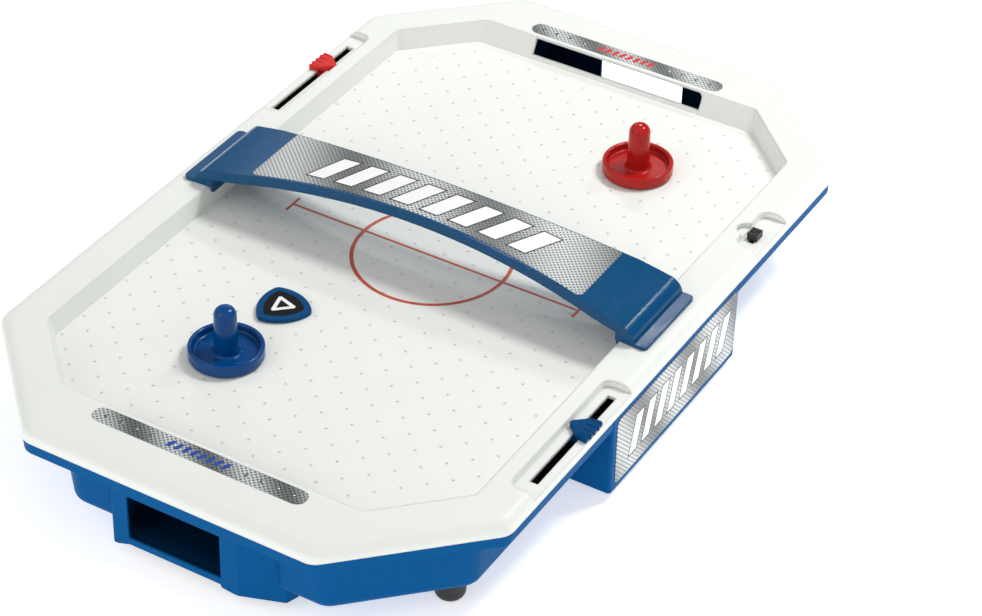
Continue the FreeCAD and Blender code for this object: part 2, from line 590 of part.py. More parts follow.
def contact_springs():
    """A bowed leaf spring at each cell's negative end."""
    strip_t, half_width, half_chord = 0.4, 3.0, 6.0
    springs = []
    for y, positive in cell_rows():
        plate = TRAY_X0 + TRAY_T + 0.5 if positive > 0 else TRAY_X1 - TRAY_T - 0.5
        rise = contact_gap() - 0.5
        r = (half_chord ** 2 + rise ** 2) / (2 * rise)
        centre = Vector(plate + positive * (rise - r), y - half_width, CELL_Z)
        drums = [Part.makeCylinder(radius, 2 * half_width, centre, Vector(0, 1, 0))
                 for radius in (r, r - strip_t)]
        tip = plate + positive * (rise + 1)
        keep = box(min(plate, tip), max(plate, tip), y - 4, y + 4, CELL_Z - 8, CELL_Z + 8)
        springs.append(drums[0].cut(drums[1]).common(keep))
    return group(springs)


def fan_volute():
    outer_r, z0, z1 = VOLUTE_R + VOLUTE_T, VOLUTE_Z0, VOLUTE_Z1
    inside_x = HOUSING_X0 + HOUSING_T
    eye_r = FAN_EYE_R + 1
    outer = fuse([cylinder(FAN_X, FAN_Y, z0, z1, outer_r),
                  box(inside_x, FAN_X, FAN_Y - outer_r, FAN_Y - 1, z0, z1)])
    inner = fuse([cylinder(FAN_X, FAN_Y, z0 + VOLUTE_T, z1 - VOLUTE_T, VOLUTE_R),
                  box(inside_x - 1, FAN_X, FAN_Y - VOLUTE_R, FAN_Y - 3, z0 + VOLUTE_T, z1 - VOLUTE_T)])
    return cut(outer, [inner, cylinder(FAN_X, FAN_Y, z0 - 1, z0 + VOLUTE_T + 1, eye_r)])


def impeller():
    plate_t, hub_r, blade_t, lean = 2.0, 4.0, 1.2, 30.0
    solids = [cylinder(FAN_X, FAN_Y, FAN_Z1 - plate_t, FAN_Z1, FAN_R),
              cylinder(FAN_X, FAN_Y, MOTOR_Z1 + 1.5, FAN_Z1, hub_r)]
    ring = cylinder(FAN_X, FAN_Y, FAN_Z0, FAN_Z0 + 1.5, FAN_R)
    solids.append(ring.cut(cylinder(FAN_X, FAN_Y, 0, 60, FAN_R - 2)))
    for k in range(FAN_BLADES):
        blade = box(0, FAN_R - FAN_EYE_R - 1, -0.5 * blade_t, 0.5 * blade_t, FAN_Z0, FAN_Z1 - 0.5)
        blade.rotate(Vector(0, 0, 0), Vector(0, 0, 1), lean)
        blade.translate(Vector(FAN_EYE_R, -1.5, 0))
        blade.rotate(Vector(0, 0, 0), Vector(0, 0, 1), 360.0 * k / FAN_BLADES)
        blade.translate(Vector(FAN_X, FAN_Y, 0))
        solids.append(blade)
    return fuse(solids).cut(cylinder(FAN_X, FAN_Y, 0, FAN_Z1 - 1, SHAFT_R))


def motor():
    can = cylinder(FAN_X, FAN_Y, MOTOR_Z0, MOTOR_Z1, MOTOR_R)
    can = fillet_where(can, 1.5, lambda e: e.BoundBox.ZLength < 1e-4)
    terminals = [box(FAN_X - MOTOR_R - 2.5, FAN_X - MOTOR_R + 2, FAN_Y + dy - 1.2, FAN_Y + dy + 1.2,
                     22.6, 24.2) for dy in (-3, 3)]
    return fuse([can] + terminals).cut(cylinder(FAN_X, FAN_Y, MOTOR_Z0 + 3, 60, SHAFT_R + SHAFT_CLEARANCE))


def motor_shaft():
    return cylinder(FAN_X, FAN_Y, MOTOR_Z0 + 4, FAN_Z1 - 1, SHAFT_R)


def motor_clamp():
    """A cup round the motor, with three arms that hold it and the volute to the housing's posts."""
    arm_half, arm_z0 = 3.0, VOLUTE_Z0 - 3
    solids = [cylinder(FAN_X, FAN_Y, MOTOR_Z0 - 2, arm_z0, MOTOR_R + 2.4)]
    for x, y in CLAMP_POSTS:
        reach = math.hypot(x - FAN_X, y - FAN_Y)
        arm = box(MOTOR_R, reach, -arm_half, arm_half, arm_z0, VOLUTE_Z0)
        arm.rotate(Vector(0, 0, 0), Vector(0, 0, 1), math.degrees(math.atan2(y - FAN_Y, x - FAN_X)))
        arm.translate(Vector(FAN_X, FAN_Y, 0))
        solids += [arm, cylinder(x, y, arm_z0, VOLUTE_Z0, BOSS_R)]
    bores = [cylinder(x, y, 0, 60, BORE_R) for x, y in CLAMP_POSTS]
    clamp = fuse(solids)
    motor_room = [cylinder(FAN_X, FAN_Y, MOTOR_Z0, 60, MOTOR_R), cylinder(FAN_X, FAN_Y, 0, 60, 8)]
    return cut(clamp, bores + motor_room)


# ---- switch, leads ----
def switch_body():
    body = box(SWITCH_X - 5.5, SWITCH_X + 5.5, SWITCH_Y - 10, SWITCH_Y + 8, WEB_Z + WEB_T + GAP,
               RECESS_Z - RECESS_T - 0.1)
    stem_room = STEM_HALF + 0.4
    groove = box(SWITCH_X - stem_room, SWITCH_X + stem_room,
                 SWITCH_Y - SWITCH_TRAVEL - 3.1, SWITCH_Y + 3.1, 71, 80)
    return body.cut(groove)


def switch_knob():
    cap = box(SWITCH_X - 4, SWITCH_X + 4, SWITCH_Y - 4.75, SWITCH_Y + 4.75, RECESS_Z + GAP, RIM_TOP + 0.6)
    cap = fillet_where(cap, 1.0, lambda e: e.BoundBox.ZMin > RECESS_Z + 1)
    stem = box(SWITCH_X - STEM_HALF, SWITCH_X + STEM_HALF, SWITCH_Y - 2.7, SWITCH_Y + 2.7, 71.5, RECESS_Z + 1)
    grooves = [box(SWITCH_X - 5, SWITCH_X + 5, SWITCH_Y + k * 2.0 - 0.4, SWITCH_Y + k * 2.0 + 0.4,
                   RIM_TOP, RIM_TOP + 2) for k in (-1, 0, 1)]
    return cut(fuse([cap, stem]), grooves)


def lead_up(start, bend, offset):
    """A lead's way out of the blower box and up through the rim's web to the switch."""
    x, y = LEAD_HOLE
    body_x = SWITCH_X - 5.5
    return start + [bend, (bend[0], 104 + offset, bend[2]), (152, 122 + offset, bend[2] + 2),
                    (x - 6, y + offset, 58), (x, y + offset, 64), (x, y + offset, 71.5),
                    (body_x, y + offset, 71.5)]


def red_lead():
    z = CELL_Z
    from_motor = [(FAN_X - MOTOR_R - 2.5, FAN_Y - 3, z), (122.5, FAN_Y - 3, z), (122.5, 30, z)]
    plus_y = cell_rows()[3][0]
    from_cells = [(TRAY_X0 - 2, plus_y, z), (131, plus_y, z)]
    return group([tube(lead_up(from_motor, (126.5, 62, 51), -2), LEAD_R),
                  tube(lead_up(from_cells, (131, 79, 46.5), 2), LEAD_R)])


def black_lead():
    z, x = CELL_Z, 126.5
    minus_y = cell_rows()[0][0]
    return tube([(FAN_X - MOTOR_R - 2.5, FAN_Y + 3, z), (x, FAN_Y + 3, z), (x, minus_y, z),
                 (TRAY_X0 - 2, minus_y, z)],
                LEAD_R)


# ---- score markers ----
def score_knob():
    """The blue score marker: a shield with a scalloped outer edge, on a neck through the slot."""
    plan = [(KNOB_TIP_X - 1.8, 0), (KNOB_END_X - 9, -KNOB_HALF + 1.5), (KNOB_END_X, -KNOB_HALF),
            (KNOB_END_X, KNOB_HALF), (KNOB_END_X - 9, KNOB_HALF - 1.5)]
    corners = [Vector(x, y, RECESS_Z + 2 * GAP) for x, y in plan]
    head = Part.Face(rounded_wire(corners, [3.0, 4.0, 2.5, 2.5, 4.0])).extrude(
        Vector(0, 0, KNOB_Z1 - RECESS_Z - 2 * GAP))
    pitch = 2 * (KNOB_HALF - 1) / SCALLOPS
    rows = [(k - 0.5 * (SCALLOPS - 1)) * pitch for k in range(SCALLOPS)]
    bites = [cylinder(KNOB_END_X + SCALLOP_R - SCALLOP_DEPTH, y, 60, 100, SCALLOP_R) for y in rows]
    head = fillet_where(head, 0.8, at_height(KNOB_Z1)).cut(group(bites))
    grooves = [rod_along_x(KNOB_END_X - KNOB_GROOVE_L, KNOB_END_X, y, KNOB_Z1 + 0.1, KNOB_GROOVE_R) for y in rows]
    head = head.cut(group(grooves))
    neck_half = SLOT_HALF_W - GAP
    neck = box(SLOT_X - neck_half, SLOT_X + neck_half, -6, 6, RECESS_Z - RECESS_T - GAP, RECESS_Z + 1)
    peg = cylinder(SLOT_X, 0, RECESS_Z - RECESS_T - GAP - CLIP_T, RECESS_Z, PEG_R)
    return fuse([head, neck, peg])


def score_clip():
    top = RECESS_Z - RECESS_T - GAP
    plate = box(SLOT_X - 6.2, SLOT_X + 6.2, -9, 9, top - CLIP_T, top)
    return plate.cut(cylinder(SLOT_X, 0, 0, 100, PEG_R))


def score_tracks():
    """The black channels under the two slots, which the markers' clips run in."""
    wall, end = 1.0, 7.0
    y0, y1, top = SLOT_Y0 - end, SLOT_Y1 + end, RECESS_Z - RECESS_T
    track = box(TRACK_X0, TRACK_X1, y0, y1, TRACK_Z0, top)
    track = track.cut(box(TRACK_X0 + wall, TRACK_X1 - wall, y0 + wall, y1 - wall,
                          TRACK_Z0 + TRACK_FLOOR_T, top + 1))
    return group([track, turned(track)])


def on_blue_side(shape):
    moved = shape.copy()
    moved.translate(Vector(0, BLUE_SCORE_Y, 0))
    return moved


def on_red_side(shape):
    moved = turned(shape)
    moved.translate(Vector(0, RED_SCORE_Y, 0))
    return moved


# ---- bridge ----
def arch_z(x, lower=0.0):
    r = ARCH_R - lower
    return ARCH_TOP - lower - r + math.sqrt(r * r - x * x)


def arch_arc(half_x, lower=0.0):
    return Part.Arc(Vector(half_x, 0, arch_z(half_x, lower)), Vector(0, 0, ARCH_TOP - lower),
                    Vector(-half_x, 0, arch_z(half_x, lower))).toShape()


def side_face(arcs_and_points):
    """A face in the XZ plane from arcs and points in order, thick enough for the whole bridge."""
    edges, here = [], None
    first = None
    for item in arcs_and_points + [arcs_and_points[0]]:
        start = item if isinstance(item, Vector) else item.Vertexes[0].Point
        if here is not None and (start - here).Length > 1e-6:
            edges.append(Part.LineSegment(here, start).toShape())
        if item is first:
            break
        if first is None:
            first = item
        if isinstance(item, Vector):
            here = item
        else:
            edges.append(item)
            here = item.Vertexes[1].Point
    half = BRIDGE_HALF + 2
    face = Part.Face(Part.Wire(edges))
    face.translate(Vector(0, -half, 0))
    return face.extrude(Vector(0, 2 * half, 0))


def bridge_plan(inset=0.0, r=4.0):
    """The bridge's hourglass outline, seen from above."""
    waist, wide, half = BRIDGE_WAIST - inset, BRIDGE_WIDE - inset, BRIDGE_HALF - inset
    end = BRIDGE_END_X - inset
    side = Part.Arc(Vector(-BRIDGE_WIDE_X, -wide, 0), Vector(0, -waist, 0), Vector(BRIDGE_WIDE_X, -wide, 0))
    other = Part.Arc(Vector(BRIDGE_WIDE_X, wide, 0), Vector(0, waist, 0), Vector(-BRIDGE_WIDE_X, wide, 0))
    lines = []
    for sx in (1, -1):
        corner, tip = sx * end, sx * (end - r)
        mid = r * (1 - math.sqrt(0.5))
        lines.append([Part.LineSegment(Vector(sx * BRIDGE_WIDE_X, -sx * wide, 0), Vector(tip, -sx * half, 0)),
                      Part.Arc(Vector(tip, -sx * half, 0), Vector(sx * (end - mid), -sx * (half - mid), 0),
                               Vector(corner, -sx * (half - r), 0)),
                      Part.LineSegment(Vector(corner, -sx * (half - r), 0),
                                       Vector(corner, sx * (half - r), 0)),
                      Part.Arc(Vector(corner, sx * (half - r), 0),
                               Vector(sx * (end - mid), sx * (half - mid), 0),
                               Vector(tip, sx * half, 0)),
                      Part.LineSegment(Vector(tip, sx * half, 0), Vector(sx * BRIDGE_WIDE_X, sx * wide, 0))])
    curves = [side] + lines[0] + [other] + lines[1]
    wire = Part.Wire([c.toShape() for c in curves])
    wire.translate(Vector(0, 0, 60))
    return Part.Face(wire).extrude(Vector(0, 0, 80))


def bridge():
    lip_z0 = RIM_TOP + GAP
    lip_z1 = lip_z0 + LIP_T
    x_s, x_o, x_e = ARCH_SHOULDER_X, BRIDGE_OUT_X, BRIDGE_END_X
    bulge = Vector(181.4, 0, 92.6)

    def shoulder(sx, inset):
        """The rounded corner between the arch and a lip, from the arch outwards."""
        top = Vector(sx * (x_s - 0.4 * inset), 0, arch_z(x_s) - inset)
        middle = Vector(sx * (bulge.x - 0.8 * inset), 0, bulge.z - 0.7 * inset)
        foot = Vector(sx * (x_o - inset), 0, lip_z1)
        return Part.Arc(foot, middle, top).toShape() if sx > 0 else Part.Arc(top, middle, foot).toShape()

    skirt_x = HOOK_X0
    skirt_z = arch_z(skirt_x, BRIDGE_SKIRT)
    outer = side_face([Vector(x_e, 0, lip_z0), Vector(x_e, 0, lip_z1), shoulder(1, 0), arch_arc(x_s),
                       shoulder(-1, 0), Vector(-x_e, 0, lip_z1), Vector(-x_e, 0, lip_z0),
                       Vector(-skirt_x, 0, lip_z0),
                       Part.Arc(Vector(-skirt_x, 0, skirt_z), Vector(0, 0, ARCH_TOP - BRIDGE_SKIRT),
                                Vector(skirt_x, 0, skirt_z)).toShape(),
                       Vector(skirt_x, 0, lip_z0)])
    t = BRIDGE_T
    x_i = x_s - 0.4 * t
    inner_arc = Part.Arc(Vector(x_i, 0, arch_z(x_s) - t), Vector(0, 0, ARCH_TOP - t),
                         Vector(-x_i, 0, arch_z(x_s) - t)).toShape()
    hollow = side_face([Vector(x_o - t, 0, 60), shoulder(1, t), inner_arc, shoulder(-1, t),
                        Vector(-x_o + t, 0, 60)])
    body = outer.common(bridge_plan())
    body = body.cut(hollow.common(bridge_plan(t, 2.0)))
    hooks = [box(min(sx * HOOK_X0, sx * HOOK_X1), max(sx * HOOK_X0, sx * HOOK_X1), -HOOK_HALF, HOOK_HALF,
                 HOOK_Z, arch_z(HOOK_X1) - 0.5 * t) for sx in (-1, 1)]
    return fuse([body] + hooks)


def waist_half(x):
    """Half the bridge's width between its waist and its wide ends."""
    spread = BRIDGE_WIDE - BRIDGE_WAIST
    r = (BRIDGE_WIDE_X ** 2 + spread ** 2) / (2 * spread)
    return BRIDGE_WAIST + r - math.sqrt(r * r - x * x)


def bridge_label():
    """The sticker on the bridge's top, bent over the arch."""
    near_inset, far_inset, x = 2.5, 1.0, BRIDGE_LABEL_X
    near, far = waist_half(x) - near_inset, waist_half(x) - far_inset
    near_side = Part.Arc(Vector(-x, -near, 0), Vector(0, near_inset - BRIDGE_WAIST, 0), Vector(x, -near, 0))
    far_side = Part.Arc(Vector(x, far, 0), Vector(0, BRIDGE_WAIST - far_inset, 0), Vector(-x, far, 0))
    ends = [Part.LineSegment(Vector(x, -near, 0), Vector(x, far, 0)),
            Part.LineSegment(Vector(-x, far, 0), Vector(-x, -near, 0))]
    outline = Part.Wire([side.toShape() for side in (near_side, ends[0], far_side, ends[1])])
    column = Part.Face(outline).extrude(Vector(0, 0, ARCH_TOP + 10))
    column = fillet_where(column, 5.0, lambda e: e.BoundBox.ZLength > 10 and e.BoundBox.YMax < 0)
    column = fillet_where(column, 2.0, lambda e: e.BoundBox.ZLength > 10 and e.BoundBox.YMin > 0)
    base, along = Vector(0, -BRIDGE_HALF, ARCH_TOP - ARCH_R), Vector(0, 1, 0)
    drums = [Part.makeCylinder(ARCH_R + t, 2 * BRIDGE_HALF, base, along) for t in (LABEL_T, 0)]
    return column.common(drums[0]).cut(drums[1])


# ---- labels ----
def goal_label():
    reach, r, y = 77.3, 7.2, -288.7
    pill = prism([(-reach - r, y - r), (reach + r, y - r), (reach + r, y + r), (-reach - r, y + r)],
                 RIM_TOP, RIM_TOP + LABEL_T, r - 0.01)
    return pill


def side_label():
    thick, r = 0.4, 5.0
    y0, y1, z0, z1 = HOUSING_Y0 + 6, HOUSING_Y1 - 3.5, 11.5, 67.0
    corners = [Vector(HOUSING_X1, y, z) for y, z in ((y0, z0), (y1, z0), (y1, z1), (y0, z1))]
    return Part.Face(rounded_wire(corners, [r] * 4)).extrude(Vector(thick, 0, 0))


# ---- strikers and puck ----
def striker(x, y):
    z = PLAY_Z + GAP
    floor = PAD_T + STRIKER_FLOOR_T
    inner = STRIKER_R - STRIKER_RIM_T
    profile = [(0, PAD_T, 0), (STRIKER_R, PAD_T, 0.8), (STRIKER_R, STRIKER_RIM_H, 1.6),
               (inner, STRIKER_RIM_H, 1.6), (inner, floor, 1.5), (STRIKER_POST_R, floor, 2.5),
               (STRIKER_TOP_R, STRIKER_H, 6.6), (0, STRIKER_H + 0.4, 0)]
    return revolved(profile, x, y, z)


def striker_pad(x, y):
    z = PLAY_Z + GAP
    return cylinder(x, y, z, z + PAD_T, STRIKER_R - 1.5).cut(cylinder(x, y, 0, 100, STRIKER_R - 9))


def puck_shape(inset, z0, z1):
    """A triangle with bulging sides and rounded corners, about the puck's middle."""
    x, y = PUCK_AT
    sides = []
    for k in range(3):
        turn = math.radians(PUCK_TURN + 120 * k)
        sides.append(cylinder(x + PUCK_OFFSET * math.cos(turn), y + PUCK_OFFSET * math.sin(turn), z0, z1,
                              PUCK_SIDE_R - inset))
    body = sides[0].common(sides[1]).common(sides[2])
    return fillet_where(body, PUCK_CORNER_R - 0.5 * inset, lambda e: e.BoundBox.ZLength > 0.9 * (z1 - z0))


def puck():
    body = puck_shape(0, PLAY_Z + GAP, PLAY_Z + GAP + PUCK_T)
    return fillet_where(body, 0.7, lambda e: e.BoundBox.ZLength < 1e-4)


def puck_label():
    z = PLAY_Z + GAP + PUCK_T
    return puck_shape(5.0, z, z + 0.15)


# ---- feet and screws ----
def feet():
    pieces = []
    for x, y in FEET:
        foot = fillet_where(cylinder(x, y, 0, TUB_Z, FOOT_R), FOOT_ROUND, at_height(0))
        pieces.append(cut(foot, [cylinder(x, y, -1, 12, FOOT_BORE_R), cylinder(x, y, 0, 60, BORE_R)]))
    return group(pieces)


def foot_screws():
    return group([screw(x, y, 12, TUB_Z - 2) for x, y in FEET])


def case_screws():
    return group([screw(x, y, STRIP_Z, 13) for x, y in CASE_SCREWS])


def goal_box_screws():
    x, y = EAR_SCREW
    return group([screw(sx * x, sy * y, WEB_Z - BOX_T - 0.1, 11) for sx in (-1, 1) for sy in (-1, 1)])


def blower_screws():
    return group([screw(x, y, HOUSING_Z0, 10) for x, y in BLOWER_SCREWS])


def motor_screws():
    return group([screw(x, y, VOLUTE_Z0 - 3, 12) for x, y in CLAMP_POSTS])


NODES = {
    "rim_frame": rim_frame,
    "playing_panel": playing_panel,
    "base_tub": base_tub,
    "base_flange": base_flange,
    "front_goal_box": goal_box,
    "rear_goal_box": lambda: turned(goal_box()),
    "blower_housing": blower_housing,
    "blower_base_plate": blower_base_plate,
    "battery_door": battery_door,
    "battery_tray": battery_tray,
    "batteries": batteries,
    "battery_contacts": battery_contacts,
    "contact_springs": contact_springs,
    "fan_volute": fan_volute,
    "impeller": impeller,
    "motor": motor,
    "motor_shaft": motor_shaft,
    "motor_clamp": motor_clamp,
    "switch_body": switch_body,
    "switch_knob": switch_knob,
    "score_tracks": score_tracks,
    "red_lead": red_lead,
    "black_lead": black_lead,
    "blue_score_slider": lambda: on_blue_side(score_knob()),
    "blue_score_clip": lambda: on_blue_side(score_clip()),
    "red_score_slider": lambda: on_red_side(score_knob()),
    "red_score_clip": lambda: on_red_side(score_clip()),
    "bridge": bridge,
    "bridge_label": bridge_label,
    "side_label": side_label,
    "front_goal_label": goal_label,
    "rear_goal_label": lambda: turned(goal_label()),
    "blue_striker": lambda: striker(*BLUE_STRIKER),
    "blue_striker_pad": lambda: striker_pad(*BLUE_STRIKER),
    "red_striker": lambda: striker(*RED_STRIKER),
    "red_striker_pad": lambda: striker_pad(*RED_STRIKER),
    "puck": puck,
    "puck_label": puck_label,
    "feet": feet,
    "foot_screws": foot_screws,
    "case_screws": case_screws,
    "goal_box_screws": goal_box_screws,
    "blower_screws": blower_screws,
    "motor_screws": motor_screws,
}

os.makedirs("parts", exist_ok=True)
for name, make in NODES.items():
    shape = make()
    shape.exportStep(f"parts/{name}.step")
    sound = shape.isValid() and all(solid.Volume > 0 for solid in shape.Solids)
    note = "" if sound else "NOT VALID"
    print(name, len(shape.Solids), "solid(s)", round(shape.Volume / 1000, 1), "cm3", note)
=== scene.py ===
"""Looks for the tabletop air hockey game: materials, print, small trim, floor, light and camera."""
import math

import bmesh
import bpy
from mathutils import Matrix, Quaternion, Vector


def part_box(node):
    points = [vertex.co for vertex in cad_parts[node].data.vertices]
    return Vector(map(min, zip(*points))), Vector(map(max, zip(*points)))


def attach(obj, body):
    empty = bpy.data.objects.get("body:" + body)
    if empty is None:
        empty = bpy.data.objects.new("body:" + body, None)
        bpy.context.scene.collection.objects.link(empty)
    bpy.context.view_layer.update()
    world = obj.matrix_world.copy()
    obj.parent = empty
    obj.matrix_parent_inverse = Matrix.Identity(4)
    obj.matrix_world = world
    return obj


MM = 0.001


def srgb(red, green, blue):
    """A colour given in 0 to 255 screen values, as linear light."""
    def linear(value):
        value /= 255.0
        return value / 12.92 if value <= 0.04045 else ((value + 0.055) / 1.055) ** 2.4
    return (linear(red), linear(green), linear(blue), 1.0)


def scaled(colour, factor):
    return tuple(min(1.0, c * factor) for c in colour[:3]) + (1.0,)


# ---- camera: looks at the rink from the blue end, somewhat from the blower's side ----
CAMERA_AZIMUTH = 29.88
CAMERA_ELEVATION = 37.03
CAMERA_ROLL = 1.675
CAMERA_DISTANCE = 2.0558
CAMERA_AIM = Vector((0.0693, -0.0336, 0.07))
CAMERA_LENS = 107.1

# ---- colours ----
SHELL_BLUE = srgb(0, 86, 146)
BRIDGE_BLUE = srgb(0, 74, 120)
BLUE_MARKER = srgb(0, 66, 118)
RED_MARKER = srgb(206, 46, 42)
BLUE_STRIKER = srgb(0, 68, 130)
RED_STRIKER = srgb(178, 30, 26)
PUCK_BLUE = srgb(0, 70, 120)
PUCK_BLACK, PUCK_WHITE = srgb(17, 18, 21), srgb(240, 241, 240)
DECK_WHITE = srgb(234, 237, 233)
PANEL_WHITE = srgb(236, 238, 234)
# grey of the painted shade in the dimple round each air hole
HOLE_SHADE_GREY = srgb(178, 182, 178)
LINE_RED = srgb(194, 66, 32)
# the labels' dark and light band colours are painted reflection on their metal look
LABEL_SHEEN_DARK, LABEL_SHEEN_LIGHT = srgb(112, 116, 117), srgb(214, 218, 219)
LABEL_DOT = srgb(38, 41, 44)
BAR_WHITE, BAR_EDGE = srgb(246, 247, 246), srgb(18, 19, 22)
BAR_BLUE, BAR_RED = srgb(40, 80, 170), srgb(214, 44, 48)
BLACK_PLASTIC = srgb(28, 29, 31)
# the score tracks' black is partly painted shade: darker than the black plastic, for the shade down in the
# slots
TRACK_BLACK_AND_SHADE = srgb(7, 8, 8)
GREY_PLASTIC = srgb(120, 124, 128)
RUBBER_BLACK = srgb(26, 27, 29)
RED_WIRE, BLACK_WIRE = srgb(190, 30, 28), srgb(22, 22, 24)
FELT_DARK, FELT_LIGHT = srgb(48, 50, 56), srgb(96, 98, 106)
CELL_DARK, CELL_COPPER = srgb(34, 38, 44), srgb(176, 112, 62)
ZINC = srgb(188, 191, 196)
NICKEL = srgb(205, 203, 196)
CAN_STEEL = srgb(176, 178, 182)
RIVET_METAL = srgb(150, 154, 158)
FLOOR_DARK, FLOOR_LIGHT = srgb(247, 248, 249), srgb(250, 250, 250)

# ---- print on the rink ----
CIRCLE_R, CIRCLE_LINE = 58.5 * MM, 3.0 * MM
CENTRE_LINE_HALF, CENTRE_LINE = 121.0 * MM, 2.3 * MM
END_BAR_HALF = 9.0 * MM
HOLE_PITCH = 12.4 * MM      # half the air holes' spacing
DIMPLE_R, DIMPLE_SOFT = 1.4 * MM, 0.9 * MM
DIMPLE_TONE = 0.3           # how much of the painted shade shows
HOLES_HALF_X, HOLES_HALF_Y = 170 * MM, 258 * MM
HOLES_CORNER = 387 * MM     # the holes stop where x and y add up to this

# ---- print on the labels ----
DOT_PITCH, DOT_R, DOT_SOFT = 3.7 * MM, 0.29, 0.08      # the radius and softness are parts of the pitch
BAR_OUTLINE = 1.3 * MM
PRINT_SOFT = 0.12 * MM

# ---- print on the puck ----
PUCK_TURN = 13.3            # how far its triangle is turned, in degrees
TRIANGLE_OUTER, TRIANGLE_INNER = 5.7 * MM, 2.9 * MM
TRIANGLE_BLUNT_R, TRIANGLE_BLUNT_SOFT = 9.6 * MM, 0.5 * MM

# ---- the goal boxes' inside faces, from the table's middle: across to the slanted wall, along to the end ----
WING_SLOPE, WING_FACE = 0.3607, 336.8 * MM
SLANT_SLOPE, SLANT_FACE = 3.0, 548.0 * MM
OUTER_FACE = 318.7 * MM
INNER_FACE = 263.2 * MM
NARROW_SIDE, WIDE_SIDE = -49.3 * MM, -82.8 * MM
WIDE_ABOVE_Z = 25.0 * MM
POCKET_FLOOR_Z = 11.5 * MM
POCKET_SOFT = 0.4 * MM      # how soft the shade's edge is
POCKET_SHADE = 0.16         # how much of the blue is left in the shade

# ---- rivet marks on the goal labels ----
RIVETS_EACH_END = 4
RIVET_FIRST_X, RIVET_STEP = 38 * MM, 12 * MM
RIVET_PROFILE = [                          # radius and height, from the foot to the top
    (1.7 * MM, 0.0), (1.55 * MM, 0.16 * MM), (1.1 * MM, 0.42 * MM), (0.5 * MM, 0.56 * MM), (0, 0.6 * MM)]

# ---- floor and lights ----
FLOOR_SIZE = 6.0
FLOOR_GLOW = 0.55
SKY_TINT = (1.0, 0.995, 0.96, 1.0)
SKY_NEAR_Y, SKY_FAR_Y = -0.5, 0.6          # the sky fades between these directions
SKY_NEAR, SKY_FAR = 0.78, 0.14             # its strength at the two
LIGHTS = [                                 # name, place, aim, watts, disc size
    ("key", (0.8, 1.1, 2.1), (0, 0, 0.05), 33.0, 0.6),
    ("fill", (-0.9, -2.2, 1.4), (0, 0, 0.05), 8.5, 1.4),
    ("back", (-0.579, 1.602, 1.43), (0.19, 0, 0.09), 2.4, 0.14),
    ("glint", (0.69, 1.585, 1.535), (0.18, 0, 0.1), 5.0, 0.14),
    ("sheen", (-1.27, 1.52, 1.05), (-0.15, 0, 0.1), 2.0, 0.8),
]


# ---- shader building ----
class Field:
    """A number that varies over a surface, made of shader maths."""

    def __init__(self, shader, socket):
        self.shader = shader
        self.socket = socket

    def maths(self, operation, *others):
        node = self.shader.nodes.new("ShaderNodeMath")
        node.operation = operation
        for slot, value in zip(node.inputs, (self,) + others):
            if isinstance(value, Field):
                self.shader.links.new(value.socket, slot)
            else:
                slot.default_value = value
        return Field(self.shader, node.outputs[0])

    def __add__(self, other):
        return self.maths("ADD", other)

    def __sub__(self, other):
        return self.maths("SUBTRACT", other)

    def __mul__(self, other):
        return self.maths("MULTIPLY", other)

    def __truediv__(self, other):
        return self.maths("DIVIDE", other)

    def size(self):
        return self.maths("ABSOLUTE")

    def root(self):
        return self.maths("SQRT")

    def sine(self):
        return self.maths("SINE")

    def part(self):
        return self.maths("FRACT")

    def floor(self):
        return self.maths("FLOOR")

    def least(self, other):
        return self.maths("MINIMUM", other)

    def most(self, other):
        return self.maths("MAXIMUM", other)

    def under(self, limit, soft):
        """1 where this is below the limit and 0 above, with an edge this soft."""
        node = self.shader.nodes.new("ShaderNodeMapRange")
        node.interpolation_type = "SMOOTHSTEP"
        self.shader.links.new(self.socket, node.inputs["Value"])
        node.inputs["From Min"].default_value = limit - soft
        node.inputs["From Max"].default_value = limit + soft
        node.inputs["To Min"].default_value = 1.0
        node.inputs["To Max"].default_value = 0.0
        return Field(self.shader, node.outputs["Result"])

    def over(self, limit, soft):
        """1 where this is above the limit and 0 below, with an edge this soft."""
        return (self * -1.0).under(-limit, soft)


